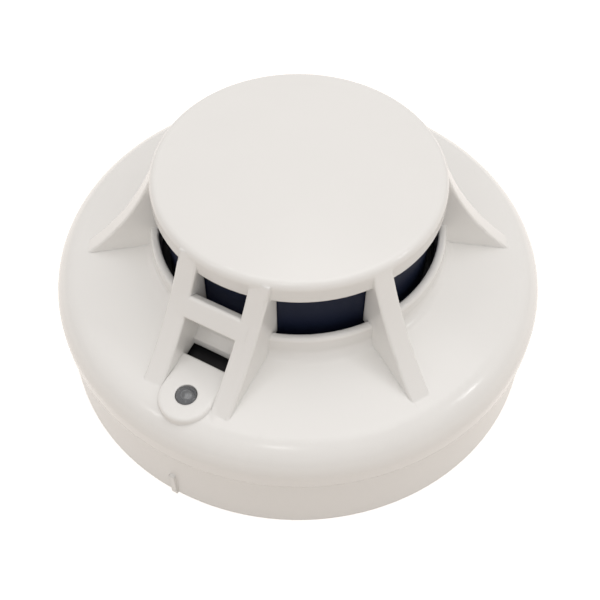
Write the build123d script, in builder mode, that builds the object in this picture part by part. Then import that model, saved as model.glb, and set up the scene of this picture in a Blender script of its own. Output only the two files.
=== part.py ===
from build123d import *
from math import cos, radians, sin, sqrt, tan
import os

# A ceiling heat detector: a plug-in head that twist-locks onto a mounting base.
# Millimetres. The origin is the centre of the mounting face, +Z points away from the ceiling
# and the indicator lamp lies towards -Y.

# ---- Driving dimensions: mounting base ----
base_height = 15.1
base_floor = 2.5
base_wall = 1.8
base_foot_inset = 0.2        # the foot stands in from the head's side by this much
base_draft = 0.3             # the wall leans in by this much from foot to rim
cable_hole_radius = 11.0
cable_rim_width = 1.6
cable_rim_height = 2.0
slot_spacing = 60.0          # centre to centre of the two fixing slots, along X
slot_length = 8.0
slot_width = 4.5
tick_width = 1.3
tick_height = 7.0
tick_depth = 0.5

# ---- Driving dimensions: twist lock ----
lug_count = 3
lug_angle = 20.0             # arc that each lug covers
lug_height = 2.1
lug_bottom = 8.0
ledge_thickness = 2.0
ledge_overhang = 2.0         # arc by which a ledge is longer than its lug, at each end
stop_arc = 4.0
lock_ring_wall = 2.0
lock_ring_inset = 6.5        # from the base's inner wall to the ring's outside
lug_gap_arc = 0.4
first_lug_angle = 30.0

# ---- Driving dimensions: contacts ----
contact_angles = (30.0, 120.0, 210.0, 300.0)
contact_thickness = 0.8
contact_width = 6.0
contact_mid_inset = 6.5      # from the lock ring's inside to the middle of the contact strips
contact_top = 9.0
contact_arc_before = 7.5
contact_arc_after = 30.0
post_arc = 15.0
post_extra_width = 2.4
blade_lead_angle = 22.0      # a blade rests this far round from its terminal screw
blade_width = 6.0
pin_radius = 0.8
pin_head_radius = 1.7
pin_head_height = 0.8
washer_side = 7.0
washer_thickness = 1.0
washer_corner = 0.9
terminal_screw_radius = 1.7
terminal_head_radius = 3.0
terminal_head_height = 2.0
terminal_screw_depth = 4.5
terminal_drive_length = 4.2
drive_slot_width = 0.7       # arms of the cross recess in every screw head

# ---- Driving dimensions: head cover ----
head_radius = 52.5
parting_gap = 0.4            # shadow line between base and head
cover_wall = 2.0
shoulder_corner = 8.5        # height of the unrounded shoulder corner above the skirt's edge
shoulder_slope = 10.4        # degrees
shoulder_round = 6.7
collar_radius = 30.9
collar_wall = 1.7
collar_height = 5.3
collar_foot_round = 2.4
lip_outer_round = 0.75
lip_inner_round = 0.5
air_gap = 9.9                # height of the air slots between collar and cap
cap_radius = 29.5
cap_wall = 1.8
cap_depth = 4.8              # from the cap's lower edge to its unrounded upper corner
cap_round = 1.6
cap_rim_round = 0.45
cap_dome = 0.6
skirt_chamfer = 0.3

# ---- Driving dimensions: ribs, bar, window and lamp tongue ----
rib_width = 4.2
rib_step = 60.0
rib_bulge = 1.5
rib_toe_inset = 7.3          # from the head's side to the toes of the ribs
rib_root_angle = 30.0        # where the rib leaves the cap's rounded edge, degrees up the rounding
rib_edge_round = 0.5
pair_spacing = 15.1          # centre to centre of the two ribs beside the lamp
bar_start = 0.30             # the bar's upper face starts and ends at these shares of a rib's edge
bar_end = 0.47
bar_thickness = 2.8
bar_round = 0.7
window_inner_gap = 2.0       # from the collar to the window
window_length = 3.6
tongue_inner_drop = 0.15     # below the shoulder's surface at the window
tongue_rise = 1.35           # above the shoulder's surface, carried on to the lamp
tongue_overlap = 0.1
tongue_round = 0.7
lamp_inset = 8.5             # from the head's side to the lamp's axis
lamp_angle = -90.0

# ---- Driving dimensions: inside the head ----
chassis_thickness = 2.0
chassis_recess = 0.1         # the back plate stands inside the skirt's edge
boss_radius = 3.6
boss_inset = 3.4
boss_top_drop = 1.5
chassis_screw_radius = 1.3
chassis_head_radius = 2.4
chassis_head_height = 1.6
chassis_screw_length = 6.0
chassis_drive_length = 2.9
standoff_height = 1.6
standoff_radius = 2.6
standoff_inset = 6.0         # from the board's edge
board_thickness = 1.6
board_gap = 3.5              # from the cover's inside to the board's edge
board_screw_radius = 1.0
board_head_radius = 1.9
board_head_height = 1.2
board_screw_length = 4.0
board_drive_length = 2.3
deck_thickness = 1.2
deck_radius = 38.0
deck_rim_width = 1.2
deck_rim_height = 1.4
deck_leg_radius = 1.6
deck_leg_inset = 3.0
screen_thickness = 0.8

# ---- Driving dimensions: lamp, sensor and board parts ----
lamp_radius = 1.95
lamp_flange_radius = 2.3
lamp_flange_height = 0.8
lamp_stand_out = 0.25
lamp_spacer_height = 0.9
lamp_lead_spacing = 1.27
lead_radius = 0.25
bead_radius = 1.4
bead_height = 12.5           # above the deck
sensor_lead_spacing = 1.8
sleeve_radius = 2.2
sleeve_height = 4.5
lead_tail = 1.0              # what stands out below the board
lamp_dome = 0.9
resistor_ring = 14.0
capacitor_ring = 10.0

# ---- Named clearances ----
running_gap = 0.3
screw_gap = 0.1
edge_gap = 0.5
lamp_gap = 0.2

# ---- Levels and radii that follow ----
skirt_z = base_height + parting_gap
cover_inner_radius = head_radius - cover_wall
base_foot_radius = head_radius - base_foot_inset
base_rim_radius = base_foot_radius - base_draft
base_inner_radius = base_rim_radius - base_wall
lock_ring_radius = base_inner_radius - lock_ring_inset
lock_ring_inner = lock_ring_radius - lock_ring_wall
lug_radius = base_inner_radius - edge_gap
lug_top = lug_bottom + lug_height
ledge_bottom = lug_top + running_gap
ledge_inner = lock_ring_radius + edge_gap
ledge_outer = base_inner_radius + base_wall / 2
contact_radius = lock_ring_inner - contact_mid_inset
post_reach = (contact_width + post_extra_width) / 2
corner_z = skirt_z + shoulder_corner
collar_z = corner_z + (head_radius - collar_radius) * tan(radians(shoulder_slope))
lip_z = collar_z + collar_height
cap_z = lip_z + air_gap
cap_corner_z = cap_z + cap_depth
cap_inner_radius = cap_radius - cap_wall
ceiling_z = cap_corner_z - cap_wall
top_z = cap_corner_z + cap_dome
chassis_z = skirt_z + chassis_recess
chassis_top = chassis_z + chassis_thickness
board_z = chassis_top + standoff_height
board_top = board_z + board_thickness
board_radius = cover_inner_radius - board_gap
boss_distance = cover_inner_radius - boss_inset
lamp_distance = head_radius - lamp_inset
screen_radius = cap_inner_radius - running_gap
window_inner_radius = collar_radius + window_inner_gap
window_outer_radius = window_inner_radius + window_length


def shoulder_z(radius):
    """Height of the shoulder's upper face at a radius."""
    return corner_z + (head_radius - radius) * tan(radians(shoulder_slope))


def shoulder_under_z(radius):
    """Height of the shoulder's lower face at a radius."""
    return shoulder_z(radius) - cover_wall / cos(radians(shoulder_slope))


deck_top = shoulder_under_z(deck_radius) - edge_gap
deck_z = deck_top - deck_thickness


def level(height, angle=0.0):
    """A horizontal plane at a height, turned about Z."""
    return Plane.XY.offset(height).rotated((0, 0, angle))


def radial_plane(angle, sideways=0.0):
    """An upright plane: x runs outward at the angle, y runs up, and it stands sideways of the axis."""
    outward = Vector(cos(radians(angle)), sin(radians(angle)), 0)
    across = Vector(sin(radians(angle)), -cos(radians(angle)), 0)
    return Plane(origin=across * sideways, x_dir=outward, z_dir=across)


def sector(inner, outer, start, arc):
    """The face of a ring sector, for a sketch to add."""
    middle = start + arc / 2
    end = start + arc

    def spot(radius, angle):
        return (radius * cos(radians(angle)), radius * sin(radians(angle)))

    with BuildSketch() as face:
        with BuildLine():
            ThreePointArc(spot(outer, start), spot(outer, middle), spot(outer, end))
            Line(spot(outer, end), spot(inner, end))
            ThreePointArc(spot(inner, end), spot(inner, middle), spot(inner, start))
            Line(spot(inner, start), spot(outer, start))
        make_face()
    return face.sketch


def corner(sketch, across, up):
    """The corner of a sketch nearest to a point."""
    return sketch.vertices().sort_by_distance((across, up, 0))[0]


def save(piece, name):
    """Labels a finished piece and writes it."""
    piece.part.label = name
    export_step(piece.part, f"parts/{name}.step")


os.makedirs("parts", exist_ok=True)

lug_centres = [first_lug_angle + step * 360 / lug_count for step in range(lug_count)]
boss_angles = [lamp_angle + 60 + step * 120 for step in range(3)]
leg_angles = [lamp_angle + 30 + step * 120 for step in range(3)]
standoff_angles = [lamp_angle + 90 + step * 120 for step in range(3)]
standoff_distance = board_radius - standoff_inset

# ---- Mounting base ----
with BuildPart() as mounting_base:
    with BuildSketch(Plane.XZ):
        with BuildLine():
            Polyline(
                (cable_hole_radius, 0),
                (base_foot_radius, 0),
                (base_rim_radius, base_height),
                (base_inner_radius, base_height),
                (base_inner_radius, base_floor),
                (cable_hole_radius + cable_rim_width, base_floor),
                (cable_hole_radius + cable_rim_width, base_floor + cable_rim_height),
                (cable_hole_radius, base_floor + cable_rim_height),
                close=True,
            )
        make_face()
    revolve(axis=Axis.Z)
    # The ledges that hold the lugs, each with an end stop.
    for centre in lug_centres:
        ledge_start = centre - lug_angle / 2 - lug_gap_arc - stop_arc
        with BuildSketch(level(ledge_bottom)):
            add(sector(ledge_inner, ledge_outer, ledge_start, stop_arc + lug_angle + ledge_overhang))
        extrude(amount=ledge_thickness)
        with BuildSketch(level(lug_bottom)):
            add(sector(ledge_inner, ledge_outer, ledge_start, stop_arc))
        extrude(amount=ledge_bottom - lug_bottom)
    # Posts that carry the contact strips.
    for angle in contact_angles:
        with BuildSketch(level(base_floor)):
            post_start = angle - post_arc / 2
            add(sector(contact_radius - post_reach, contact_radius + post_reach, post_start, post_arc))
        extrude(amount=contact_top - contact_thickness - base_floor)
    # Fixing slots, and the screw holes in the posts.
    with BuildSketch(level(0)):
        with Locations((-slot_spacing / 2, 0), (slot_spacing / 2, 0)):
            SlotOverall(slot_length, slot_width)
    extrude(amount=base_floor, mode=Mode.SUBTRACT)
    with BuildSketch(level(contact_top)):
        for angle in contact_angles:
            with PolarLocations(contact_radius, 1, start_angle=angle):
                Circle(terminal_screw_radius + screw_gap)
    extrude(amount=-terminal_screw_depth - washer_thickness, mode=Mode.SUBTRACT)
    # The mark on the wall that shows where the lamp comes.
    with BuildSketch(level(0, lamp_angle)):
        with Locations((base_foot_radius - base_wall / 2 + tick_depth / 2, 0)):
            Rectangle(base_wall + tick_depth, tick_width)
    extrude(amount=tick_height)
save(mounting_base, "mounting_base")

# ---- Base contacts, their clamp washers and terminal screws ----
for number, angle in enumerate(contact_angles, start=1):
    with BuildPart() as base_contact:
        with BuildSketch(level(contact_top - contact_thickness, angle)):
            add(
                sector(
                    contact_radius - contact_width / 2,
                    contact_radius + contact_width / 2,
                    -contact_arc_before,
                    contact_arc_before + contact_arc_after,
                )
            )
            with Locations((contact_radius, 0)):
                Circle(terminal_screw_radius + screw_gap, mode=Mode.SUBTRACT)
        extrude(amount=contact_thickness)
    save(base_contact, f"base_contact_{number}")

with BuildPart() as clamp_washers:
    for angle in contact_angles:
        with BuildSketch(level(contact_top, angle)):
            with Locations((contact_radius, 0)):
                RectangleRounded(washer_side, washer_side, washer_corner)
                Circle(terminal_screw_radius + screw_gap, mode=Mode.SUBTRACT)
        extrude(amount=washer_thickness)
save(clamp_washers, "clamp_washers")

with BuildPart() as terminal_screws:
    for angle in contact_angles:
        with BuildSketch(level(contact_top + washer_thickness, angle)):
            with Locations((contact_radius, 0)):
                Circle(terminal_head_radius)
        extrude(amount=terminal_head_height)
        with BuildSketch(level(contact_top + washer_thickness, angle)):
            with Locations((contact_radius, 0)):
                Circle(terminal_screw_radius)
        extrude(amount=-terminal_screw_depth)
        with BuildSketch(level(contact_top + washer_thickness + terminal_head_height, angle)):
            with Locations((contact_radius, 0)):
                Rectangle(terminal_drive_length, drive_slot_width)
                Rectangle(drive_slot_width, terminal_drive_length)
        extrude(amount=-terminal_head_height / 2, mode=Mode.SUBTRACT)
save(terminal_screws, "terminal_screws")

# ---- Head back plate with the twist-lock ring ----
with BuildPart() as chassis:
    with BuildSketch(level(chassis_z)):
        Circle(cover_inner_radius - running_gap)
    extrude(amount=chassis_thickness)
    with BuildSketch(level(lug_bottom)):
        Circle(lock_ring_radius)
        Circle(lock_ring_inner, mode=Mode.SUBTRACT)
    extrude(amount=chassis_z - lug_bottom)
    for centre in lug_centres:
        with BuildSketch(level(lug_bottom)):
            add(sector(lock_ring_radius - lock_ring_wall / 2, lug_radius, centre - lug_angle / 2, lug_angle))
        extrude(amount=lug_height)
    with BuildSketch(level(chassis_top)):
        for angle in standoff_angles:
            with PolarLocations(standoff_distance, 1, start_angle=angle):
                Circle(standoff_radius)
    extrude(amount=standoff_height)
    with BuildSketch(level(board_z)):
        for angle in standoff_angles:
            with PolarLocations(standoff_distance, 1, start_angle=angle):
                Circle(board_screw_radius + screw_gap)
    extrude(amount=board_thickness - board_screw_length - screw_gap, mode=Mode.SUBTRACT)
    with BuildSketch(level(chassis_z)):
        for angle in boss_angles:
            with PolarLocations(boss_distance, 1, start_angle=angle):
                Circle(chassis_screw_radius + screw_gap)
        for angle in contact_angles:
            with PolarLocations(contact_radius, 1, start_angle=angle + blade_lead_angle):
                Circle(pin_radius + screw_gap)
    extrude(amount=chassis_thickness, mode=Mode.SUBTRACT)
save(chassis, "chassis")

# ---- Contact blades and the pins that rivet them and lead up through the board ----
blade_low = contact_top + running_gap
for number, angle in enumerate(contact_angles, start=1):
    blade_inner = contact_radius - blade_width / 2
    blade_outer = contact_radius + blade_width / 2
    with BuildPart() as contact_blade:
        with BuildSketch(radial_plane(angle + blade_lead_angle)):
            with BuildLine():
                Polyline(
                    (blade_inner, blade_low),
                    (blade_outer, blade_low),
                    (blade_outer, blade_low + contact_thickness),
                    (blade_inner + contact_thickness, blade_low + contact_thickness),
                    (blade_inner + contact_thickness, chassis_z - contact_thickness),
                    (blade_outer, chassis_z - contact_thickness),
                    (blade_outer, chassis_z),
                    (blade_inner, chassis_z),
                    close=True,
                )
            make_face()
        extrude(amount=blade_width / 2, both=True)
        with BuildSketch(level(chassis_z, angle + blade_lead_angle)):
            with Locations((contact_radius, 0)):
                Circle(pin_radius + screw_gap)
        extrude(amount=-contact_thickness, mode=Mode.SUBTRACT)
    save(contact_blade, f"contact_blade_{number}")

with BuildPart() as contact_pins:
    for angle in contact_angles:
        with BuildSketch(level(chassis_z - contact_thickness, angle + blade_lead_angle)):
            with Locations((contact_radius, 0)):
                Circle(pin_head_radius)
        extrude(amount=-pin_head_height)
        with BuildSketch(level(chassis_z - contact_thickness, angle + blade_lead_angle)):
            with Locations((contact_radius, 0)):
                Circle(pin_radius)
        extrude(amount=board_top - chassis_z + contact_thickness + pin_head_height)
save(contact_pins, "contact_pins")

# ---- Outer cover: shoulder, collar, ribs, cap, bar and lamp tongue in one moulding ----
rib_root_radius = cap_radius - cap_round * (1 - cos(radians(rib_root_angle)))
rib_root_z = cap_corner_z - cap_round * (1 - sin(radians(rib_root_angle)))
rib_toe_radius = head_radius - rib_toe_inset
single_rib_angles = [lamp_angle + rib_step * step for step in range(1, 6)]
pair_sides = (-pair_spacing / 2, pair_spacing / 2)
pair_gap = pair_spacing - rib_width
tongue_width = pair_gap + tongue_overlap


def chord(radius, sideways):
    """Distance out to a circle along a line that runs sideways of the axis."""
    return sqrt(radius**2 - sideways**2)


def rib_edge(sideways):
    """The curved top edge of a rib, from the cap to its toe."""
    root = (chord(rib_root_radius, sideways), rib_root_z)
    toe = (chord(rib_toe_radius, sideways), shoulder_z(rib_toe_radius))
    return SagittaArc(root, toe, -rib_bulge, mode=Mode.PRIVATE)


def rib_blade(sideways):
    """One rib, upright along +X, with its long edges rounded."""
    foot = chord(collar_radius - collar_wall / 2, sideways)
    inside = chord(cap_inner_radius, abs(sideways) + rib_width / 2) - 1
    sunk = cover_wall / 2
    with BuildPart() as blade:
        with BuildSketch(radial_plane(0, sideways)):
            with BuildLine():
                edge = rib_edge(sideways)
                add(edge)
                top = edge @ 0
                toe = edge @ 1
                Polyline(
                    (toe.X, toe.Y),
                    (toe.X, toe.Y - sunk),
                    (foot, shoulder_z(collar_radius) - sunk),
                    (foot, lip_z - collar_wall),
                    (inside, lip_z - collar_wall),
                    (inside, top.Y),
                    (top.X, top.Y),
                )
            make_face()
        extrude(amount=rib_width / 2, both=True)
        fillet(blade.edges().filter_by(GeomType.CIRCLE), rib_edge_round)
    return blade.part


with BuildPart() as tongue:
    tongue_end = lamp_distance + tongue_width / 2
    with BuildSketch(level(skirt_z, lamp_angle)):
        with Locations((lamp_distance, 0)):
            Circle(tongue_width / 2)
        with Locations(((lamp_distance + window_outer_radius) / 2, 0)):
            Rectangle(lamp_distance - window_outer_radius, tongue_width)
    extrude(amount=cap_z - skirt_z)
    with BuildSketch(radial_plane(lamp_angle)):
        with BuildLine():
            Polyline(
                (window_outer_radius, shoulder_z(window_outer_radius) - cover_wall / 2),
                (tongue_end, shoulder_z(tongue_end) - cover_wall / 2),
                (tongue_end, shoulder_z(tongue_end) + tongue_rise),
                (window_outer_radius, shoulder_z(window_outer_radius) - tongue_inner_drop),
                close=True,
            )
        make_face()
    extrude(amount=tongue_width, both=True, mode=Mode.INTERSECT)
    upper_face = tongue.faces().filter_by(lambda face: face.normal_at().Z > 0)[0]
    fillet(upper_face.edges().filter_by(GeomType.LINE, reverse=True), tongue_round)

with BuildPart() as outer_cover:
    # The shell from the skirt's edge to the collar's lip.
    collar_inner = collar_radius - collar_wall
    with BuildSketch(Plane.XZ) as shell:
        with BuildLine():
            Polyline(
                (cover_inner_radius, skirt_z),
                (head_radius, skirt_z),
                (head_radius, corner_z),
                (collar_radius, collar_z),
                (collar_radius, lip_z),
                (collar_inner, lip_z),
                (collar_inner, shoulder_under_z(collar_inner)),
                (cover_inner_radius, shoulder_under_z(cover_inner_radius)),
                close=True,
            )
        make_face()
        fillet(corner(shell, head_radius, corner_z), shoulder_round)
        inner_corner = corner(shell, cover_inner_radius, shoulder_under_z(cover_inner_radius))
        fillet(inner_corner, shoulder_round - cover_wall)
        fillet(corner(shell, collar_radius, collar_z), collar_foot_round)
        fillet(corner(shell, collar_radius, lip_z), lip_outer_round)
        fillet(corner(shell, collar_inner, lip_z), lip_inner_round)
        chamfer(corner(shell, head_radius, skirt_z), skirt_chamfer)
    revolve(axis=Axis.Z)
    # The cap, gently domed.
    with BuildSketch(Plane.XZ) as cap:
        with BuildLine():
            TangentArc((0, top_z), (cap_radius, cap_corner_z), tangent=(1, 0))
            Polyline(
                (cap_radius, cap_corner_z),
                (cap_radius, cap_z),
                (cap_inner_radius, cap_z),
                (cap_inner_radius, ceiling_z),
                (0, ceiling_z),
                (0, top_z),
            )
        make_face()
        fillet(corner(cap, cap_radius, cap_corner_z), cap_round)
        fillet(corner(cap, cap_radius, cap_z), cap_rim_round)
    revolve(axis=Axis.Z)
    # The ribs, and the bar across the pair beside the lamp.
    for angle in single_rib_angles:
        with PolarLocations(0, 1, start_angle=angle):
            add(rib_blade(0))
    with PolarLocations(0, 1, start_angle=lamp_angle):
        for side in pair_sides:
            add(rib_blade(side))
    with BuildSketch(radial_plane(lamp_angle)) as bar:
        with BuildLine():
            upper = rib_edge(pair_spacing / 2)
            start = upper.position_at(bar_start)
            end = upper.position_at(bar_end)
            inward = (end - start).rotate(Axis.Z, -90).normalized() * bar_thickness
            Polyline(start, end, end + inward, start + inward, close=True)
        make_face()
        fillet(bar.vertices(), bar_round)
    extrude(amount=pair_spacing / 2, both=True)
    # Nothing stands inside the cap's and the collar's bore, where the screen goes.
    with BuildSketch(level(shoulder_under_z(collar_inner))):
        Circle(cap_inner_radius)
    extrude(amount=ceiling_z - shoulder_under_z(collar_inner), mode=Mode.SUBTRACT)
    # The tongue that carries the lamp, the lamp's hole and the window behind it.
    add(tongue.part)
    with BuildSketch(level(skirt_z, lamp_angle)):
        with Locations((lamp_distance, 0)):
            Circle(lamp_radius + lamp_gap)
        with Locations(((window_inner_radius + window_outer_radius) / 2, 0)):
            Rectangle(window_length, pair_gap)
    extrude(amount=collar_z + cover_wall - skirt_z, mode=Mode.SUBTRACT)
    # Bosses for the screws that hold the back plate.
    with BuildSketch(level(chassis_top)):
        with PolarLocations(boss_distance, len(boss_angles), start_angle=boss_angles[0]):
            Circle(boss_radius)
    extrude(amount=corner_z - boss_top_drop - chassis_top)
    with BuildSketch(level(chassis_top)):
        with PolarLocations(boss_distance, len(boss_angles), start_angle=boss_angles[0]):
            Circle(chassis_screw_radius + screw_gap)
    extrude(amount=chassis_screw_length - chassis_thickness + edge_gap, mode=Mode.SUBTRACT)
save(outer_cover, "outer_cover")

# ---- Screws that hold the back plate to the cover, seen from the ceiling side ----
with BuildPart() as chassis_screws:
    for angle in boss_angles:
        with BuildSketch(level(chassis_z, angle)):
            with Locations((boss_distance, 0)):
                Circle(chassis_head_radius)
        extrude(amount=-chassis_head_height)
        with BuildSketch(level(chassis_z, angle)):
            with Locations((boss_distance, 0)):
                Circle(chassis_screw_radius)
        extrude(amount=chassis_screw_length)
        with BuildSketch(level(chassis_z - chassis_head_height, angle)):
            with Locations((boss_distance, 0)):
                Rectangle(chassis_drive_length, drive_slot_width)
                Rectangle(drive_slot_width, chassis_drive_length)
        extrude(amount=chassis_head_height / 2, mode=Mode.SUBTRACT)
save(chassis_screws, "chassis_screws")

# ---- Circuit board ----
with BuildPart() as circuit_board:
    with BuildSketch(level(board_z)):
        Circle(board_radius)
        with PolarLocations(boss_distance, len(boss_angles), start_angle=boss_angles[0]):
            Circle(boss_radius + running_gap, mode=Mode.SUBTRACT)
        with PolarLocations(standoff_distance, len(standoff_angles), start_angle=standoff_angles[0]):
            Circle(board_screw_radius + screw_gap, mode=Mode.SUBTRACT)
        for angle in contact_angles:
            with PolarLocations(contact_radius, 1, start_angle=angle + blade_lead_angle):
                Circle(pin_radius + screw_gap, mode=Mode.SUBTRACT)
        with PolarLocations(lamp_distance, 1, start_angle=lamp_angle):
            with GridLocations(0, lamp_lead_spacing, 1, 2):
                Circle(lead_radius + screw_gap, mode=Mode.SUBTRACT)
        with GridLocations(sensor_lead_spacing, 0, 2, 1):
            Circle(lead_radius + screw_gap, mode=Mode.SUBTRACT)
    extrude(amount=board_thickness)
save(circuit_board, "circuit_board")

with BuildPart() as board_screws:
    for angle in standoff_angles:
        with BuildSketch(level(board_top, angle)):
            with Locations((standoff_distance, 0)):
                Circle(board_head_radius)
        extrude(amount=board_head_height)
        with BuildSketch(level(board_top, angle)):
            with Locations((standoff_distance, 0)):
                Circle(board_screw_radius)
        extrude(amount=-board_screw_length)
        with BuildSketch(level(board_top + board_head_height, angle)):
            with Locations((standoff_distance, 0)):
                Rectangle(board_drive_length, drive_slot_width)
                Rectangle(drive_slot_width, board_drive_length)
        extrude(amount=-board_head_height / 2, mode=Mode.SUBTRACT)
save(board_screws, "board_screws")

# ---- Sensor deck: the dark floor of the sensing space, on three legs ----
with BuildPart() as sensor_deck:
    with BuildSketch(level(deck_z)):
        Circle(deck_radius)
    extrude(amount=deck_thickness)
    with BuildSketch(level(deck_top)):
        Circle(screen_radius + screw_gap + deck_rim_width)
        Circle(screen_radius + screw_gap, mode=Mode.SUBTRACT)
    extrude(amount=deck_rim_height)
    with BuildSketch(level(board_top)):
        with PolarLocations(deck_radius - deck_leg_inset, len(leg_angles), start_angle=leg_angles[0]):
            Circle(deck_leg_radius)
    extrude(amount=deck_z - board_top)
    with BuildSketch(level(deck_z)):
        Circle(sleeve_radius + screw_gap)
    extrude(amount=deck_thickness, mode=Mode.SUBTRACT)
save(sensor_deck, "sensor_deck")

# ---- Screen: the dark ring behind the air slots that keeps insects out ----
with BuildPart() as insect_screen:
    with BuildSketch(level(deck_top)):
        Circle(screen_radius)
        Circle(screen_radius - screen_thickness, mode=Mode.SUBTRACT)
    extrude(amount=ceiling_z - running_gap - deck_top)
save(insect_screen, "insect_screen")

# ---- Thermistor on its leads, in a sleeve through the deck ----
bead_z = deck_top + bead_height
with BuildPart() as sensor_sleeve:
    with BuildSketch(level(board_top)):
        Circle(sleeve_radius)
        with GridLocations(sensor_lead_spacing, 0, 2, 1):
            Circle(lead_radius + screw_gap, mode=Mode.SUBTRACT)
    extrude(amount=deck_top + sleeve_height - board_top)
save(sensor_sleeve, "sensor_sleeve")

with BuildPart() as thermistor_leads:
    with BuildSketch(level(board_z - lead_tail)):
        with GridLocations(sensor_lead_spacing, 0, 2, 1):
            Circle(lead_radius)
    extrude(amount=bead_z - board_z + lead_tail)
save(thermistor_leads, "thermistor_leads")

with BuildPart() as thermistor_bead:
    with Locations((0, 0, bead_z)):
        Sphere(bead_radius)
    with BuildSketch(level(bead_z)):
        with GridLocations(sensor_lead_spacing, 0, 2, 1):
            Circle(lead_radius)
    extrude(amount=-bead_radius, mode=Mode.SUBTRACT)
save(thermistor_bead, "thermistor_bead")

# ---- Indicator lamp, its spacer and its leads ----
lamp_base = board_top + lamp_spacer_height
lamp_top = shoulder_z(lamp_distance) + tongue_rise / 2 + lamp_stand_out
with BuildPart() as indicator_lamp:
    with BuildSketch(radial_plane(lamp_angle)):
        with BuildLine():
            shaft = lamp_distance + lamp_radius
            flange = lamp_distance + lamp_flange_radius
            Polyline(
                (lamp_distance, lamp_top),
                (lamp_distance, lamp_base),
                (flange, lamp_base),
                (flange, lamp_base + lamp_flange_height),
                (shaft, lamp_base + lamp_flange_height),
                (shaft, lamp_top - lamp_dome),
            )
            TangentArc((lamp_distance, lamp_top), (shaft, lamp_top - lamp_dome), tangent=(1, 0))
        make_face()
    lamp_spot = Vector(cos(radians(lamp_angle)), sin(radians(lamp_angle)), 0) * lamp_distance
    revolve(axis=Axis(lamp_spot, (0, 0, 1)))
save(indicator_lamp, "indicator_lamp")

with BuildPart() as lamp_spacer:
    with BuildSketch(level(board_top, lamp_angle)):
        with Locations((lamp_distance, 0)):
            Circle(lamp_flange_radius)
            with GridLocations(0, lamp_lead_spacing, 1, 2):
                Circle(lead_radius + screw_gap, mode=Mode.SUBTRACT)
    extrude(amount=lamp_spacer_height)
save(lamp_spacer, "lamp_spacer")

with BuildPart() as lamp_leads:
    with BuildSketch(level(board_z - lead_tail, lamp_angle)):
        with Locations((lamp_distance, 0)):
            with GridLocations(0, lamp_lead_spacing, 1, 2):
                Circle(lead_radius)
    extrude(amount=lamp_base - board_z + lead_tail)
save(lamp_leads, "lamp_leads")


# ---- Parts soldered to the board ----
def board_blocks(spots, length, width, height, turned=0.0):
    """Plain blocks on the board at (distance, angle) spots, each squared to its own radius."""
    with BuildPart() as blocks:
        for distance, angle in spots:
            with BuildSketch(level(board_top, angle)):
                with Locations(Location((distance, 0, 0), turned)):
                    Rectangle(length, width)
            extrude(amount=height)
    return blocks


save(board_blocks([(20.0, 45.0)], 7.0, 7.0, 1.0), "microcontroller")
save(board_blocks([(27.0, 180.0)], 4.6, 4.0, 1.6), "bridge_rectifier")
save(board_blocks([(26.0, 205.0)], 4.3, 2.6, 2.0), "surge_suppressor")
save(board_blocks([(22.0, 135.0), (22.0, 155.0)], 6.0, 3.2, 1.9), "tantalum_capacitors")
save(board_blocks([(17.0, 350.0)], 3.2, 2.5, 0.8), "crystal")
save(board_blocks([(40.0, 258.0), (27.0, 230.0), (27.0, 242.0)], 1.3, 2.9, 1.0), "transistors")
save(board_blocks([(resistor_ring, 4.0 + step * 11.0) for step in range(12)], 2.0, 1.25, 0.5), "chip_resistors")
save(board_blocks([(capacitor_ring, 9.0 + step * 21.0) for step in range(8)], 2.0, 1.25, 1.1), "chip_capacitors")
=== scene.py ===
import logging
import math
from dataclasses import dataclass
from enum import Enum
from typing import Any, Iterable, Sequence

import bmesh
import bpy
from mathutils import Matrix, Vector


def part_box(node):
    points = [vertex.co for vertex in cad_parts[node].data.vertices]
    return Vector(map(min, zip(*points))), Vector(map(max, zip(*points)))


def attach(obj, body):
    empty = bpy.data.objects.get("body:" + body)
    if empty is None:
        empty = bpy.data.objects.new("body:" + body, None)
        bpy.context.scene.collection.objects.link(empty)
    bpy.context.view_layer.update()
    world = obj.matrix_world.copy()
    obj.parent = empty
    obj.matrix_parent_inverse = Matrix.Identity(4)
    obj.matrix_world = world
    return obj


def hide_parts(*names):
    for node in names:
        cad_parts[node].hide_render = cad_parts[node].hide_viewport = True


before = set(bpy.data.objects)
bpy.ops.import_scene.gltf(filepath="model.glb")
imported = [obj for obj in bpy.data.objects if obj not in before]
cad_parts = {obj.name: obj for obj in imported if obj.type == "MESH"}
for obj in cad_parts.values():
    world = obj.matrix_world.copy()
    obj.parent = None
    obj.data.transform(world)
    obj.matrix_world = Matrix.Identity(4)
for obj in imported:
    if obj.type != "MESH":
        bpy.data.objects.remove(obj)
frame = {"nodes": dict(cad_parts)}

# Finishes, small fitted detail, light and camera for a plug-in ceiling heat detector.

MM = 0.001
LOG = logging.getLogger("heat_detector")
Colour = tuple[float, float, float]


def srgb(red: int, green: int, blue: int) -> Colour:
    """Turns a screen colour into the linear colour that a shader takes.

    Args:
        red: Red from 0 to 255.
        green: Green from 0 to 255.
        blue: Blue from 0 to 255.

    Returns:
        The linear colour.
    """

    def line(level: float) -> float:
        """Linear value of one channel."""
        return level / 12.92 if level <= 0.04045 else ((level + 0.055) / 1.055) ** 2.4

    return line(red / 255), line(green / 255), line(blue / 255)


def shade(colour: Colour, share: float) -> Colour:
    """A colour made lighter or darker by a share."""
    return colour[0] * share, colour[1] * share, colour[2] * share


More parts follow.
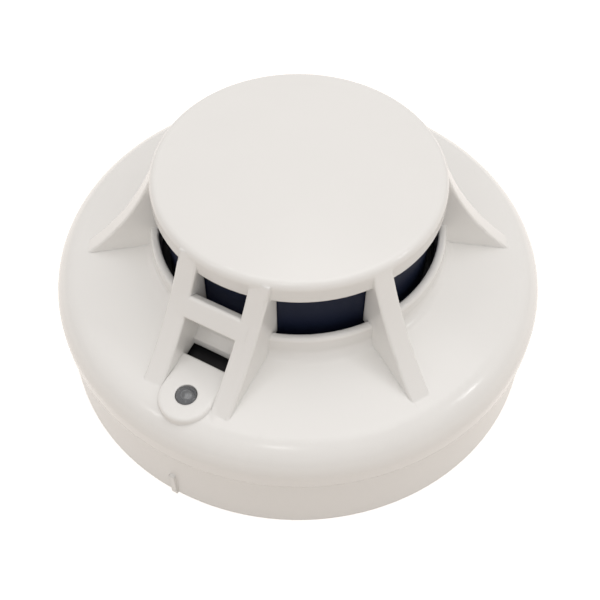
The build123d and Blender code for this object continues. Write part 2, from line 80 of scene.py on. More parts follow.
# --------------------------------------------------------------------------------------
# Shader building
# --------------------------------------------------------------------------------------
class Signal:
    """A node output that can be used in plain arithmetic."""

    def __init__(self, graph: "Graph", socket: bpy.types.NodeSocket) -> None:
        """Keeps the graph and the socket."""
        self.graph = graph
        self.socket = socket

    def _math(self, operation: str, first: Any, second: Any = 0.0) -> "Signal":
        """Adds one Math node and returns its result."""
        return self.graph.add("ShaderNodeMath", {"operation": operation}, {0: first, 1: second})

    def __add__(self, other: Any) -> "Signal":
        """Sum."""
        return self._math("ADD", self, other)

    __radd__ = __add__

    def __sub__(self, other: Any) -> "Signal":
        """Difference."""
        return self._math("SUBTRACT", self, other)

    def __rsub__(self, other: Any) -> "Signal":
        """Reflected difference."""
        return self._math("SUBTRACT", other, self)

    def __mul__(self, other: Any) -> "Signal":
        """Product."""
        return self._math("MULTIPLY", self, other)

    __rmul__ = __mul__

    def __truediv__(self, other: Any) -> "Signal":
        """Quotient."""
        return self._math("DIVIDE", self, other)

    def sine(self) -> "Signal":
        """Sine of the signal."""
        return self._math("SINE", self)

    def ramp(self, low: float, high: float) -> "Signal":
        """Runs smoothly from 0 at low to 1 at high."""
        settings = {"interpolation_type": "SMOOTHSTEP"}
        return self.graph.add("ShaderNodeMapRange", settings, {0: self, 1: low, 2: high, 3: 0.0, 4: 1.0})


class Graph:
    """One material's node tree, with a single way to add a node."""

    def __init__(self, name: str) -> None:
        """Starts an empty material.

        Args:
            name: The material's name.
        """
        self.material = bpy.data.materials.new(name)
        self.material.use_nodes = True
        self.tree = self.material.node_tree
        self.tree.nodes.clear()

    def add(
        self,
        kind: str,
        settings: dict[str, Any] | None = None,
        values: dict[Any, Any] | None = None,
        output: int | str = 0,
    ) -> Signal:
        """Adds a node, sets it up and links it.

        Args:
            kind: The node's type.
            settings: Attributes of the node.
            values: Values or signals by input name or number.
            output: The output to return.

        Returns:
            The chosen output.
        """
        node = self.tree.nodes.new(kind)
        for key, value in (settings or {}).items():
            setattr(node, key, value)
        for key, value in (values or {}).items():
            socket = node.inputs[key]
            if isinstance(value, Signal):
                self.tree.links.new(value.socket, socket)
            elif isinstance(value, tuple) and len(value) == 3 and socket.type == "RGBA":
                socket.default_value = (*value, 1.0)
            else:
                socket.default_value = value
        return Signal(self, node.outputs[output]) if node.outputs else Signal(self, node.inputs[0])

    def place(self) -> Signal:
        """Object coordinates, in metres."""
        return self.add("ShaderNodeTexCoord", output="Object")

    def parts(self, vector: Signal) -> tuple[Signal, Signal, Signal]:
        """Splits a vector into its three values."""
        first = self.add("ShaderNodeSeparateXYZ", values={0: vector})
        outputs = first.socket.node.outputs
        return first, Signal(self, outputs[1]), Signal(self, outputs[2])

    def noise(self, size: float, detail: float = 3.0, stretch: Colour = (1.0, 1.0, 1.0)) -> Signal:
        """Soft noise with features of about one size.

        Args:
            size: Feature size in metres.
            detail: Octaves.
            stretch: How many times finer the noise is along each axis.

        Returns:
            Values from 0 to 1 around 0.5.
        """
        scaled = self.add("ShaderNodeMapping", values={0: self.place(), "Scale": stretch})
        return self.add(
            "ShaderNodeTexNoise", values={"Vector": scaled, "Scale": 1.0 / size, "Detail": detail}
        )

    def blend(self, share: Any, first: Any, second: Any) -> Signal:
        """Mixes two colours by a share."""
        return self.add(
            "ShaderNodeMix", {"data_type": "RGBA"}, {0: share, 6: first, 7: second}, output=2
        )

    def bump(self, height: Signal, depth: float, normal: Signal | None = None) -> Signal:
        """A surface that stands up by height times depth in metres."""
        values: dict[Any, Any] = {"Height": height, "Distance": depth, "Strength": 1.0}
        if normal is not None:
            values["Normal"] = normal
        return self.add("ShaderNodeBump", values=values)

    def soft_edges(self, radius: float) -> Signal:
        """A normal that rounds every edge and inner corner by a radius in metres."""
        return self.add("ShaderNodeBevel", {"samples": 8}, {"Radius": radius})

    def close(self, surface: Signal) -> bpy.types.Material:
        """Ends the material with a surface and returns it."""
        self.add("ShaderNodeOutputMaterial", values={"Surface": surface})
        return self.material


class Metal(Enum):
    """The metals used, with their colours."""

    BRASS = (0.78, 0.60, 0.30)
    TIN = (0.74, 0.74, 0.72)
    ZINC = (0.66, 0.68, 0.70)


@dataclass(frozen=True)
class MouldedPlastic:
    """Injection-moulded plastic: a faint orange peel, uneven gloss and a faint random cloud and flow in its
    tone.
    """

    name: str
    colour: Colour
    roughness: float = 0.3
    grain: float = 0.35 * MM
    grain_depth: float = 0.004 * MM
    edge: float = 0.5 * MM
    coat: float = 0.0

    def build(self) -> bpy.types.Material:
        """Makes the material."""
        graph = Graph(self.name)
        cloud = graph.noise(9.0 * MM, 3.0)
        flow = graph.noise(26.0 * MM, 2.0)
        fine = graph.noise(self.grain, 2.0)
        tint = graph.blend(cloud, shade(self.colour, 0.985), shade(self.colour, 1.0))
        tint = graph.blend(flow.ramp(0.45, 0.75) * 0.35, tint, shade(self.colour, 0.965))
        rough = self.roughness + (cloud - 0.5) * 0.06 + (fine - 0.5) * 0.05
        normal = graph.bump(fine, self.grain_depth, graph.soft_edges(self.edge))
        surface = graph.add(
            "ShaderNodeBsdfPrincipled",
            values={
                "Base Color": tint,
                "Roughness": rough,
                "Normal": normal,
                "IOR": 1.5,
                "Coat Weight": self.coat,
                "Coat Roughness": 0.12,
            },
        )
        return graph.close(surface)


@dataclass(frozen=True)
class ScreenPlastic:
    """The screen: dark blue-black plastic with a very fine woven face and a soft sheen."""

    name: str
    colour: Colour
    pitch: float = 0.55 * MM
    roughness: float = 0.5

    def build(self) -> bpy.types.Material:
        """Makes the material."""
        graph = Graph(self.name)
        across, along, up = graph.parts(graph.place())
        turn = graph.add("ShaderNodeMath", {"operation": "ARCTAN2"}, {0: along, 1: across})
        radius = 27.4 * MM
        wires = (turn * (radius * 2 * math.pi / self.pitch)).sine() * (up * (2 * math.pi / self.pitch)).sine()
        cloud = graph.noise(7.0 * MM, 3.0)
        tint = graph.blend(wires.ramp(-0.6, 0.6), shade(self.colour, 0.85), shade(self.colour, 1.15))
        tint = graph.blend(cloud.ramp(0.45, 0.8) * 0.3, tint, shade(self.colour, 1.6))
        rough = self.roughness + (cloud - 0.5) * 0.12 + wires * 0.04
        surface = graph.add(
            "ShaderNodeBsdfPrincipled",
            values={
                "Base Color": tint,
                "Roughness": rough,
                "Normal": graph.bump(wires, 0.004 * MM),
                "Specular IOR Level": 0.12,
            },
        )
        return graph.close(surface)


@dataclass(frozen=True)
class MetalFinish:
    """Pressed or turned metal with fine scratches and a little tarnish."""

    name: str
    metal: Metal
    roughness: float = 0.28
    tarnish: float = 0.25

    def build(self) -> bpy.types.Material:
        """Makes the material."""
        graph = Graph(self.name)
        scratch = graph.noise(0.5 * MM, 4.0, (1.0, 9.0, 1.0))
        cloud = graph.noise(3.0 * MM, 3.0)
        bright = self.metal.value
        tint = graph.blend(cloud.ramp(0.4, 0.8) * self.tarnish, bright, shade(bright, 0.6))
        rough = self.roughness + (scratch - 0.5) * 0.2 + cloud.ramp(0.4, 0.9) * 0.12
        normal = graph.bump(scratch, 0.004 * MM, graph.soft_edges(0.12 * MM))
        surface = graph.add(
            "ShaderNodeBsdfPrincipled",
            values={"Base Color": tint, "Metallic": 1.0, "Roughness": rough, "Normal": normal},
        )
        return graph.close(surface)


@dataclass(frozen=True)
class BoardLaminate:
    """Solder-masked circuit board with the faint relief of its tracks."""

    name: str
    mask: Colour
    track: Colour
    track_pitch: float = 1.27 * MM

    def build(self) -> bpy.types.Material:
        """Makes the material."""
        graph = Graph(self.name)
        cells = graph.add(
            "ShaderNodeTexVoronoi",
            {"feature": "DISTANCE_TO_EDGE"},
            {"Vector": graph.place(), "Scale": 1.0 / (self.track_pitch * 3)},
            output="Distance",
        )
        tracks = 1 - cells.ramp(0.03, 0.06)
        weave = graph.noise(0.4 * MM, 2.0)
        tint = graph.blend(tracks, self.mask, self.track)
        tint = graph.blend(weave * 0.2, tint, shade(self.mask, 1.3))
        surface = graph.add(
            "ShaderNodeBsdfPrincipled",
            values={
                "Base Color": tint,
                "Roughness": 0.32 + weave * 0.1,
                "Normal": graph.bump(tracks, 0.03 * MM),
                "Coat Weight": 0.3,
                "Coat Roughness": 0.2,
            },
        )
        return graph.close(surface)


@dataclass(frozen=True)
class LampLens:
    """Smoke-grey tinted resin of the indicator lamp, glossy and a little cloudy inside."""

    name: str
    colour: Colour
    haze: float = 0.4

    def build(self) -> bpy.types.Material:
        """Makes the material."""
        graph = Graph(self.name)
        cloud = graph.noise(0.8 * MM, 3.0)
        tint = graph.blend(cloud, shade(self.colour, 0.85), shade(self.colour, 1.15))
        surface = graph.add(
            "ShaderNodeBsdfPrincipled",
            values={
                "Base Color": tint,
                "Roughness": 0.12 + cloud * 0.08,
                "IOR": 1.5,
                "Transmission Weight": 1.0 - self.haze,
                "Coat Weight": 0.4,
                "Coat Roughness": 0.05,
            },
        )
        return graph.close(surface)


def dress(node: bpy.types.Object, material: bpy.types.Material) -> None:
    """Puts one material on every slot of a piece.

    Args:
        node: The piece.
        material: Its finish.
    """
    if not node.data.materials:
        node.data.materials.append(material)
    for slot in node.material_slots:
        slot.material = material


# --------------------------------------------------------------------------------------
# Shapes
# --------------------------------------------------------------------------------------
Point = tuple[float, float]
CREASE = math.radians(28.0)


def crease(mesh: bmesh.types.BMesh, angle: float = CREASE) -> None:
    """Shades a mesh smooth, with a crease where two faces meet sharply.

    Args:
        mesh: The mesh.
        angle: Edges that turn by more than this stay sharp.
    """
    for face in mesh.faces:
        face.smooth = True
    for edge in mesh.edges:
        edge.smooth = edge.calc_face_angle(math.pi) < angle


def piece(
    name: str,
    mesh: bmesh.types.BMesh,
    material: bpy.types.Material,
    body: str,
    nodes: Sequence[str] = (),
) -> bpy.types.Object:
    """Turns a finished mesh into a piece of the detector.

    Args:
        name: The piece's name.
        mesh: Its mesh, in place; it is freed.
        material: Its finish.
        body: The body that it moves with.
        nodes: CAD nodes that it stands for.

    Returns:
        The piece.
    """
    crease(mesh)
    data = bpy.data.meshes.new(name)
    mesh.to_mesh(data)
    mesh.free()
    made = bpy.data.objects.new(name, data)
    bpy.context.scene.collection.objects.link(made)
    made.data.materials.append(material)
    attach(made, body)
    if nodes:
        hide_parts(*nodes)
    LOG.info("%s: %d faces on %s", name, len(data.polygons), body)
    return made


def merged(node: bpy.types.Object) -> bmesh.types.BMesh:
    """A copy of a CAD node's mesh with its doubled points merged."""
    mesh = bmesh.new()
    mesh.from_mesh(node.data)
    bmesh.ops.remove_doubles(mesh, verts=mesh.verts, dist=0.001 * MM)
    return mesh


def lathe(mesh: bmesh.types.BMesh, profile: Sequence[Point], axis: Vector, steps: int = 64) -> None:
    """Turns a profile of radii and heights about an upright axis.

    Args:
        mesh: Takes the turned shape.
        profile: Radius and height in metres, from one end of the shape to the other.
        axis: A point on the axis; its height is added to the profile's.
        steps: Faces round the shape.
    """
    verts = [mesh.verts.new(axis + Vector((radius, 0.0, height))) for radius, height in profile]
    edges = [mesh.edges.new(pair) for pair in zip(verts, verts[1:])]
    bmesh.ops.spin(
        mesh, geom=verts + edges, cent=axis, axis=(0, 0, 1), angle=2 * math.pi, steps=steps, use_merge=True
    )
    bmesh.ops.remove_doubles(mesh, verts=mesh.verts, dist=0.001 * MM)
    bmesh.ops.recalc_face_normals(mesh, faces=mesh.faces)


def sweep(mesh: bmesh.types.BMesh, rings: Sequence[Sequence[Vector]]) -> None:
    """Extrudes a closed section through a row of stations.

    Args:
        mesh: Takes the swept bar.
        rings: The section's points at each station, in the same order.
    """
    face = mesh.faces.new([mesh.verts.new(point) for point in rings[0]])
    for number, (last, ring) in enumerate(zip(rings, rings[1:])):
        grown = bmesh.ops.extrude_face_region(mesh, geom=[face], use_keep_orig=number == 0)["geom"]
        face = next(item for item in grown if isinstance(item, bmesh.types.BMFace))
        for vert in face.verts:
            nearest = min(range(len(last)), key=lambda i: (last[i] - vert.co).length_squared)
            vert.co = ring[nearest]


@dataclass(frozen=True)
class Block:
    """One boxed solid of a CAD node, with its turn about Z."""

    middle: Vector
    along: Vector
    length: float
    width: float
    low: float
    high: float

    def spot(self, along: float, across: float, height: float) -> Vector:
        """A point by its place along and across the block and its height."""
        side = Vector((-self.along.y, self.along.x, 0.0))
        place = self.middle + self.along * along + side * across
        return Vector((place.x, place.y, height))


def islands(node: bpy.types.Object) -> list[list[Vector]]:
    """The points of each separate solid in a CAD node, in a steady order."""
    mesh = merged(node)
    left = set(mesh.verts)
    found: list[list[Vector]] = []
    for seed in mesh.verts:
        if seed not in left:
            continue
        left.discard(seed)
        group, queue = [seed], [seed]
        while queue:
            for edge in queue.pop().link_edges:
                for vert in edge.verts:
                    if vert in left:
                        left.discard(vert)
                        group.append(vert)
                        queue.append(vert)
        found.append([vert.co.copy() for vert in group])
    mesh.free()
    return found


def blocks(node: bpy.types.Object) -> list[Block]:
    """The boxed solids of a CAD node."""
    found = []
    for points in islands(node):
        low, high = min(p.z for p in points), max(p.z for p in points)
        foot = [p for p in points if p.z < (low + high) / 2]
        middle = sum(foot, Vector()) / len(foot)
        sides = sorted((p - foot[0] for p in foot[1:]), key=lambda side: side.length)[:2]
        width, length = sides[0].length, sides[1].length
        found.append(Block(middle, sides[1].normalized(), length, width, low, high))
    return found


@dataclass
class Casing:
    """The white mouldings, the metalwork and the board, shaded with crisp edges."""

    nodes: dict[str, bpy.types.Object]
    weight: int = 50

    def recast(self, names: Iterable[str], material: bpy.types.Material, body: str) -> None:
        """Replaces nodes with merged copies of their own shape.

        Args:
            names: The nodes.
            material: Their finish.
            body: The body that they move with.
        """
        for name in names:
            made = piece(f"{name}_body", merged(self.nodes[name]), material, body, [name])
            shading = made.modifiers.new("weighted_normals", "WEIGHTED_NORMAL")
            shading.keep_sharp = True
            shading.weight = self.weight


@dataclass
class InsectScreen:
    """The dark sleeve behind the air gap."""

    box: tuple[Vector, Vector]
    wall: float = 0.8 * MM
    round_over: float = 0.2 * MM
    steps: int = 160

    def build(self, material: bpy.types.Material) -> None:
        """Turns the sleeve.

        Args:
            material: Its finish.
        """
        outer, low, high = self.box[1].x, self.box[0].z, self.box[1].z
        inner, cut = outer - self.wall, self.round_over
        outline = [
            (outer - cut, low), (outer, low + cut), (outer, high - cut), (outer - cut, high),
            (inner + cut, high), (inner, high - cut), (inner, low + cut), (inner + cut, low),
            (outer - cut, low),
        ]
        mesh = bmesh.new()
        lathe(mesh, outline, Vector(), self.steps)
        piece("insect_screen_sleeve", mesh, material, "head", ["insect_screen"])


@dataclass
class IndicatorLamp:
    """The smoke-grey lens with the cup and one post inside it."""

    box: tuple[Vector, Vector]
    gap: float = 0.07 * MM
    hole: float = 2.15 * MM
    rise: float = 0.34 * MM
    flange: float = 0.8 * MM
    flange_cut: float = 0.1 * MM
    dome_share: float = 0.42
    cup_steps: int = 32
    post_steps: int = 12
    post_offset: float = 1.25 * MM
    post_radius: float = 0.25 * MM
    post_top: float = 1.5 * MM
    post_shoulder: float = 1.6 * MM
    post_foot: float = 3.6 * MM
    steps: int = 48

    def build(self, lens: bpy.types.Material, metal: bpy.types.Material) -> None:
        """Makes the lens, the cup and the post.

        Args:
            lens: Finish of the lens.
            metal: Finish of the cup and the post.
        """
        low, high = self.box
        axis = Vector(((low.x + high.x) / 2, (low.y + high.y) / 2, 0.0))
        top, edge, foot = high.z + self.rise, self.hole - self.gap, (high.x - low.x) / 2
        bends = [math.radians(angle) for angle in range(0, 91, 9)]
        dome = [(edge * math.sin(b), top - edge * self.dome_share * (1 - math.cos(b))) for b in bends]
        shelf = low.z + self.flange
        outline = dome + [(edge, shelf), (foot, shelf - self.flange_cut), (foot, low.z), (0.0, low.z)]
        mesh = bmesh.new()
        lathe(mesh, outline, axis, self.steps)
        piece("lamp_lens", mesh, lens, "head", ["indicator_lamp"])
        cup = [
            (0.0, -1.05), (0.3, -1.05), (0.85, -0.65), (1.0, -0.65),
            (1.0, -0.85), (0.5, -1.7), (0.5, -3.6), (0.0, -3.6),
        ]
        mesh = bmesh.new()
        lathe(mesh, [(r * MM, top + z * MM) for r, z in cup], axis, self.cup_steps)
        post = [
            (0.0, top - self.post_top), (self.post_radius, top - self.post_shoulder),
            (self.post_radius, top - self.post_foot), (0.0, top - self.post_foot),
        ]
        lathe(mesh, post, axis + Vector((self.post_offset, 0.0, 0.0)), self.post_steps)
        piece("lamp_cup", mesh, metal, "head")


@dataclass
class Thermistor:
    """The sensing bead: a dipped teardrop that runs down over its two leads."""

    box: tuple[Vector, Vector]
    tail: float = 2.6 * MM

    def build(self, material: bpy.types.Material) -> None:
        """Turns the teardrop.

        Args:
            material: The dipped epoxy.
        """
        low, high = self.box
        radius, middle = (high.x - low.x) / 2, (low.z + high.z) / 2
        outline = [(radius * math.sin(math.radians(a)), middle + radius * math.cos(math.radians(a)))
                   for a in range(0, 121, 10)]
        outline += [
            (0.95 * MM, low.z - 0.1 * MM), (0.72 * MM, low.z - 0.9 * MM),
            (0.6 * MM, low.z - self.tail), (0.0, low.z - self.tail),
        ]
        mesh = bmesh.new()
        lathe(mesh, outline, Vector(), 32)
        bmesh.ops.scale(mesh, vec=(1.0, 0.82, 1.0), verts=mesh.verts)
        piece("thermistor_teardrop", mesh, material, "head", ["thermistor_bead"])


class Legs(Enum):
    """How a part on the board is joined to it."""

    GULL_FOUR_SIDES = "gull wings on four sides"
    GULL_TWO_SIDES = "gull wings on two sides"
    FOLDED_TABS = "tabs folded under the ends"
    END_CAPS = "plated end caps"


@dataclass
class BoardPart:
    """The moulded or ceramic bodies of one CAD node on the board, and their legs or plated ends."""

    nodes: dict[str, bpy.types.Object]
    node: str
    legs: Legs
    material: bpy.types.Material
    slot: str
    per_side: int = 1
    pitch: float = 0.8 * MM
    leg_width: float = 0.35 * MM
    leg_thickness: float = 0.15 * MM
    reach: float = 0.9 * MM
    cap: float = 0.16
    stand: float = 0.1 * MM
    cut: float = 0.12 * MM

    def solid(
        self,
        mesh: bmesh.types.BMesh,
        block: Block,
        grow: float,
        first: float,
        last: float,
        low: float,
    ) -> None:
        """Adds a box with bevelled edges.

        Args:
            mesh: Takes the box.
            block: The block that it follows.
            grow: How far it stands out past the block's sides.
            first: Where it starts along the block, from -0.5 to 0.5.
            last: Where it ends.
            low: Height of its foot.
        """
        start, end = block.length * first, block.length * last
        half = block.width / 2 + grow
        if first <= -0.5:
            start -= grow
        if last >= 0.5:
            end += grow
        made = bmesh.ops.create_cube(mesh, size=1.0)["verts"]
        for vert in made:
            x = end if vert.co.x > 0 else start
            y = half if vert.co.y > 0 else -half
            z = block.high + grow if vert.co.z > 0 else low
            vert.co = block.spot(x, y, z)
        edges = {edge for vert in made for edge in vert.link_edges}
        bmesh.ops.bevel(
            mesh, geom=list(edges), offset=min(self.cut, block.width * 0.12), affect="EDGES",
            segments=2, profile=0.5, material=-1,
        )

    def wing(self, mesh: bmesh.types.BMesh, block: Block, out: Vector, foot: Vector) -> None:
        """Adds one gull-wing leg.

        Args:
            mesh: Takes the leg.
            block: The block that it leaves.
            out: Direction away from the block.
            foot: Where it leaves the block, on the board.
        """
        rise = (block.high - block.low) * 0.45
        side = Vector((-out.y, out.x, 0.0)) * (self.leg_width / 2)
        line = [(-0.3, rise), (0.25, rise), (0.45, 0.0), (1.0, 0.0)]
        rings = []
        for share, height in line:
            middle = foot + out * (self.reach * share) + Vector((0, 0, height + self.leg_thickness * 0.05))
            lift = Vector((0, 0, self.leg_thickness))
            rings.append([middle - side, middle + side, middle + side + lift, middle - side + lift])
        sweep(mesh, rings)

    def join(self, mesh: bmesh.types.BMesh, block: Block) -> None:
        """Adds the legs, tabs or caps of one block.

        Args:
            mesh: Takes them.
            block: The block.
        """
        if self.legs is Legs.END_CAPS:
            self.solid(mesh, block, 0.02 * MM, -0.5, -0.5 + self.cap, block.low)
            self.solid(mesh, block, 0.02 * MM, 0.5 - self.cap, 0.5, block.low)
            return
        across = Vector((-block.along.y, block.along.x, 0.0))
        sides = [(across, block.along, block.width / 2), (-across, block.along, block.width / 2)]
        if self.legs is Legs.GULL_FOUR_SIDES:
            sides += [(block.along, across, block.length / 2), (-block.along, across, block.length / 2)]
        if self.legs is Legs.FOLDED_TABS:
            sides = [(block.along, across, block.length / 2), (-block.along, across, block.length / 2)]
        for out, line, distance in sides:
            for number in range(self.per_side):
                shift = (number - (self.per_side - 1) / 2) * self.pitch
                spot = block.middle + out * distance + line * shift
                self.wing(mesh, block, out, Vector((spot.x, spot.y, block.low)))

    def build(self, metal: bpy.types.Material) -> None:
        """Makes the bodies and the joined metal.

        Args:
            metal: Finish of legs and caps.
        """
        found = blocks(self.nodes[self.node])
        bodies, joined = bmesh.new(), bmesh.new()
        for block in found:
            standing = 0.0 if self.legs is Legs.END_CAPS else self.stand
            self.solid(bodies, block, 0.0, -0.5, 0.5, block.low + standing)
            self.join(joined, block)
        for mesh in (bodies, joined):
            bmesh.ops.recalc_face_normals(mesh, faces=mesh.faces)
        piece(f"{self.node}_bodies", bodies, self.material, "head", [self.node])
        piece(f"{self.node}_legs", joined, metal, "head")


@dataclass
class SolderJoints:
    """The solder cones where pins and leads pass through the board."""

    nodes: dict[str, bpy.types.Object]
    names: Sequence[str] = ("contact_pins", "thermistor_leads", "lamp_leads")
    spread: float = 2.1
    height: float = 0.7 * MM
    edge: float = 0.02 * MM

    def build(self, metal: bpy.types.Material) -> None:
        """Makes a cone round each pin under the board.

        Args:
            metal: Finish of the solder.
        """
        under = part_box("circuit_board")[0].z
        mesh = bmesh.new()
        for name in self.names:
            for points in islands(self.nodes[name]):
                low = min(p.z for p in points)
                tip = [p for p in points if p.z < low + 0.2 * MM]
                middle = sum(tip, Vector()) / len(tip)
                radius = max((p - middle).length for p in tip)
                rise = min(self.height, under - low)
                inner, outer = radius * 0.98, radius * self.spread
                outline = [
                    (inner, -rise), (radius * 1.1, -rise * 0.9), (radius * 1.35, -rise * 0.45),
                    (outer, -self.edge), (outer, self.edge), (inner, self.edge), (inner, -rise),
                ]
                lathe(mesh, outline, Vector((middle.x, middle.y, under)), 20)
        piece("solder_joints", mesh, metal, "head")


# --------------------------------------------------------------------------------------
# Studio
# --------------------------------------------------------------------------------------
@dataclass
class Studio:
    """Floor, light and camera."""

    azimuth: float = math.radians(28.35)
    elevation: float = 0.9259
    distance: float = 210.9 * MM
    aim_right: float = 0.46 * MM
    aim_up: float = 5.03 * MM
    roll: float = 0.0113
    lens: float = 54.06
    floor_size: float = 6.0
    floor_drop: float = 0.05 * MM
    world_level: float = 0.72

    def back(self) -> Vector:
        """Direction from the object to the camera."""
        flat = math.cos(self.elevation)
        return Vector(
            (math.sin(self.azimuth) * flat, -math.cos(self.azimuth) * flat, math.sin(self.elevation))
        )

    def camera(self) -> bpy.types.Object:
        """Makes the scene's camera."""
        right = Vector((math.cos(self.azimuth), math.sin(self.azimuth), 0.0))
        back = self.back()
        up = back.cross(right)
        turned_right = right * math.cos(self.roll) + up * math.sin(self.roll)
        turned_up = up * math.cos(self.roll) - right * math.sin(self.roll)
        place = right * self.aim_right + Vector((0, 0, self.aim_up)) + back * self.distance
        data = bpy.data.cameras.new("camera")
        data.lens = self.lens
        data.sensor_width = 36.0
        data.clip_start = 0.01
        data.clip_end = 50.0
        camera = bpy.data.objects.new("camera", data)
        bpy.context.scene.collection.objects.link(camera)
        axes = Matrix((turned_right, turned_up, back)).transposed().to_4x4()
        camera.matrix_world = Matrix.Translation(place) @ axes
        bpy.context.scene.camera = camera
        return camera

    def floor(self) -> bpy.types.Object:
        """Makes the plain white floor, which keeps the object's shadow."""
        mesh = bmesh.new()
        bmesh.ops.create_grid(mesh, x_segments=8, y_segments=8, size=self.floor_size / 2)
        bmesh.ops.translate(mesh, vec=(0.0, 0.0, -self.floor_drop), verts=mesh.verts)
        data = bpy.data.meshes.new("floor")
        mesh.to_mesh(data)
        mesh.free()
        floor = bpy.data.objects.new("floor", data)
        bpy.context.scene.collection.objects.link(floor)
        graph = Graph("floor_white")
        seen = graph.add("ShaderNodeLightPath", output="Is Camera Ray")
        mirrored = graph.add("ShaderNodeLightPath", output="Is Glossy Ray")
        matt = graph.add("ShaderNodeBsdfDiffuse", values={"Color": (0.56, 0.5, 0.44)})
        glow = graph.add("ShaderNodeEmission", values={"Color": (1.0, 1.0, 1.0), "Strength": 0.76})
        lit = graph.add("ShaderNodeAddShader", values={0: matt, 1: glow})
        surface = graph.add("ShaderNodeMixShader", values={0: seen + mirrored, 1: matt, 2: lit})
        dress(floor, graph.close(surface))
        return floor

    def lamp(self, name: str, azimuth: float, elevation: float, reach: float, size: float, watts: float,
             colour: Colour = (1.0, 1.0, 1.0)) -> None:
        """Hangs one soft lamp that faces the object.

        Args:
            name: The lamp's name.
            azimuth: Degrees round from the camera's side of -Y, anticlockwise from above.
            elevation: Degrees above the floor.
            reach: Distance in metres.
            size: Side of the square lamp in metres.
            watts: Power.
            colour: Light colour.
        """
        turn = self.azimuth + math.radians(azimuth)
        rise = math.radians(elevation)
        way = Vector((math.sin(turn) * math.cos(rise), -math.cos(turn) * math.cos(rise), math.sin(rise)))
        data = bpy.data.lights.new(name, "AREA")
        data.shape = "SQUARE"
        data.size = size
        data.energy = watts
        data.color = colour
        lamp = bpy.data.objects.new(name, data)
        bpy.context.scene.collection.objects.link(lamp)
        lamp.matrix_world = Matrix.Translation(way * reach) @ way.to_track_quat("Z", "Y").to_matrix().to_4x4()

    def world(self) -> None:
        """Makes the even surrounding light, seen white behind the floor."""
        world = bpy.data.worlds.new("surround")
        bpy.context.scene.world = world
        world.use_nodes = True
        tree = world.node_tree
        tree.nodes.clear()
        path = tree.nodes.new("ShaderNodeLightPath")
        soft = tree.nodes.new("ShaderNodeBackground")
        soft.inputs["Color"].default_value = (1.0, 0.965, 0.945, 1.0)
        soft.inputs["Strength"].default_value = self.world_level
        white = tree.nodes.new("ShaderNodeBackground")
        white.inputs["Color"].default_value = (1.0, 1.0, 1.0, 1.0)
        white.inputs["Strength"].default_value = 1.0
        mix = tree.nodes.new("ShaderNodeMixShader")
        out = tree.nodes.new("ShaderNodeOutputWorld")
        tree.links.new(path.outputs["Is Camera Ray"], mix.inputs[0])
        tree.links.new(soft.outputs[0], mix.inputs[1])
        tree.links.new(white.outputs[0], mix.inputs[2])
        tree.links.new(mix.outputs[0], out.inputs["Surface"])

    def light(self) -> None:
        """Hangs the lamps and sets the plain view."""
        self.world()
        self.lamp("overhead", 150.0, 76.0, 1.2, 0.8, 2.7)
        self.lamp("right_window", 80.0, 40.0, 1.1, 0.08, 0.5)
        self.lamp("left_spark", -62.0, 40.0, 1.1, 0.06, 0.22)
        self.lamp("front_spark", -10.0, 62.0, 1.1, 0.06, 0.3)
        bpy.context.scene.view_settings.view_transform = "Standard"


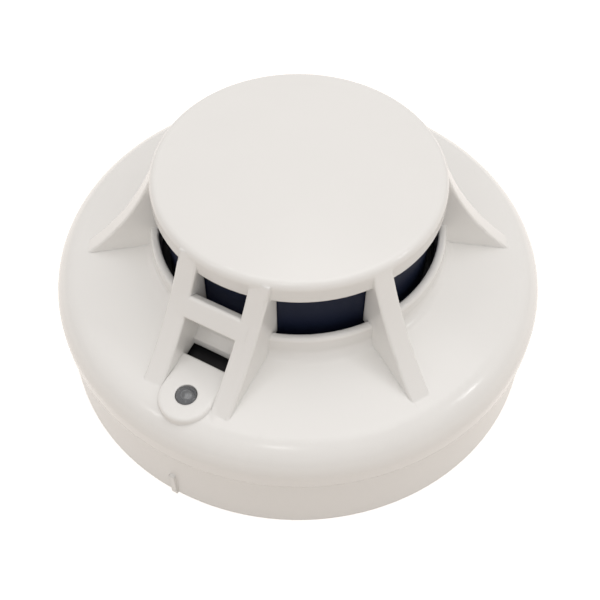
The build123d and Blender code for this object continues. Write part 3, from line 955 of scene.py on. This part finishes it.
@dataclass
class Detector:
    """The whole detector: every finish, and every piece that it goes on."""

    nodes: dict[str, bpy.types.Object]
    white: Colour = srgb(240, 239, 236)

    def build_casing(self, casing: Casing) -> None:
        """Makes the mouldings.

        Args:
            casing: Recasts the nodes.
        """
        cover = MouldedPlastic("cover_gloss_white", self.white, 0.2, edge=0.5 * MM).build()
        casing.recast(["outer_cover"], cover, "head")
        base = MouldedPlastic("base_satin_white", shade(self.white, 0.98), 0.32, edge=0.35 * MM).build()
        casing.recast(["mounting_base"], base, "base")
        matt = MouldedPlastic("chassis_matt_white", shade(self.white, 0.93), 0.45, edge=0.3 * MM)
        frame_white = matt.build()
        casing.recast(["chassis"], frame_white, "head")
        screen = ScreenPlastic("screen_blue_black", srgb(25, 31, 50)).build()
        InsectScreen(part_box("insect_screen")).build(screen)
        black = MouldedPlastic("deck_matt_black", srgb(22, 22, 26), 0.5, edge=0.2 * MM).build()
        casing.recast(["sensor_deck", "sensor_sleeve", "lamp_spacer"], black, "head")

    def build_metal(self, casing: Casing) -> bpy.types.Material:
        """Makes the screws, washers, contacts and leads.

        Args:
            casing: Recasts the nodes.

        Returns:
            The tinned finish, for solder and legs.
        """
        tin = MetalFinish("tinned_metal", Metal.TIN, 0.3).build()
        casing.recast(["contact_pins", "thermistor_leads", "lamp_leads"], tin, "head")
        zinc = MetalFinish("zinc_plate", Metal.ZINC, 0.3, 0.35).build()
        casing.recast(["chassis_screws", "board_screws"], zinc, "head")
        casing.recast(["terminal_screws", "clamp_washers"], zinc, "base")
        brass = MetalFinish("pressed_brass", Metal.BRASS, 0.3, 0.3).build()
        casing.recast([f"base_contact_{number}" for number in range(1, 5)], brass, "base")
        casing.recast([f"contact_blade_{number}" for number in range(1, 5)], brass, "head")
        return tin

    def build_board(self, casing: Casing, tin: bpy.types.Material) -> None:
        """Makes the board and what stands on it.

        Args:
            casing: Recasts the nodes.
            tin: Finish of solder and legs.
        """
        laminate = BoardLaminate("board_green_mask", srgb(20, 92, 52), srgb(34, 126, 72)).build()
        casing.recast(["circuit_board"], laminate, "head")
        black = MouldedPlastic("package_black", srgb(32, 32, 34), 0.55, edge=0.08 * MM).build()
        film = MouldedPlastic("resistor_film", srgb(18, 18, 20), 0.35, edge=0.04 * MM, coat=0.4).build()
        clay = MouldedPlastic("capacitor_ceramic", srgb(176, 146, 112), 0.6, edge=0.05 * MM).build()
        amber = MouldedPlastic("tantalum_amber", srgb(214, 160, 60), 0.45, edge=0.08 * MM).build()
        can = MetalFinish("crystal_can_metal", Metal.ZINC, 0.25, 0.1).build()
        rows: list[tuple[str, Legs, bpy.types.Material, str, int, float]] = [
            ("microcontroller", Legs.GULL_FOUR_SIDES, black, "chip_black", 8, 0.8 * MM),
            ("bridge_rectifier", Legs.GULL_TWO_SIDES, black, "chip_black", 2, 2.5 * MM),
            ("transistors", Legs.GULL_TWO_SIDES, black, "chip_black", 2, 1.5 * MM),
            ("surge_suppressor", Legs.FOLDED_TABS, black, "chip_black", 1, 1.0 * MM),
            ("tantalum_capacitors", Legs.FOLDED_TABS, amber, "tantalum", 1, 1.0 * MM),
            ("chip_resistors", Legs.END_CAPS, film, "resistor_black", 1, 1.0 * MM),
            ("chip_capacitors", Legs.END_CAPS, clay, "ceramic", 1, 1.0 * MM),
            ("crystal", Legs.FOLDED_TABS, can, "crystal_can", 1, 1.0 * MM),
        ]
        for node, legs, material, slot, per_side, pitch in rows:
            width = 1.4 * MM if legs is Legs.FOLDED_TABS else 0.35 * MM
            reach = 0.45 * MM if legs is Legs.FOLDED_TABS else 0.9 * MM
            BoardPart(self.nodes, node, legs, material, slot, per_side, pitch, width, reach=reach).build(tin)
        SolderJoints(self.nodes).build(tin)

    def build(self) -> None:
        """Makes the whole detector."""
        casing = Casing(self.nodes)
        self.build_casing(casing)
        tin = self.build_metal(casing)
        self.build_board(casing, tin)
        lens = LampLens("lamp_smoke_grey", srgb(150, 153, 157)).build()
        IndicatorLamp(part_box("indicator_lamp")).build(lens, tin)
        epoxy = MouldedPlastic("bead_dipped_epoxy", srgb(60, 34, 22), 0.25, edge=0.1 * MM, coat=0.5).build()
        Thermistor(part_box("thermistor_bead")).build(epoxy)


def main() -> None:
    """Builds the scene in order."""
    logging.basicConfig(level=logging.INFO, format="%(message)s")
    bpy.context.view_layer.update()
    studio = Studio()
    studio.camera()
    studio.floor()
    studio.light()
    Detector(frame["nodes"]).build()


if __name__ == "__main__":
    main()
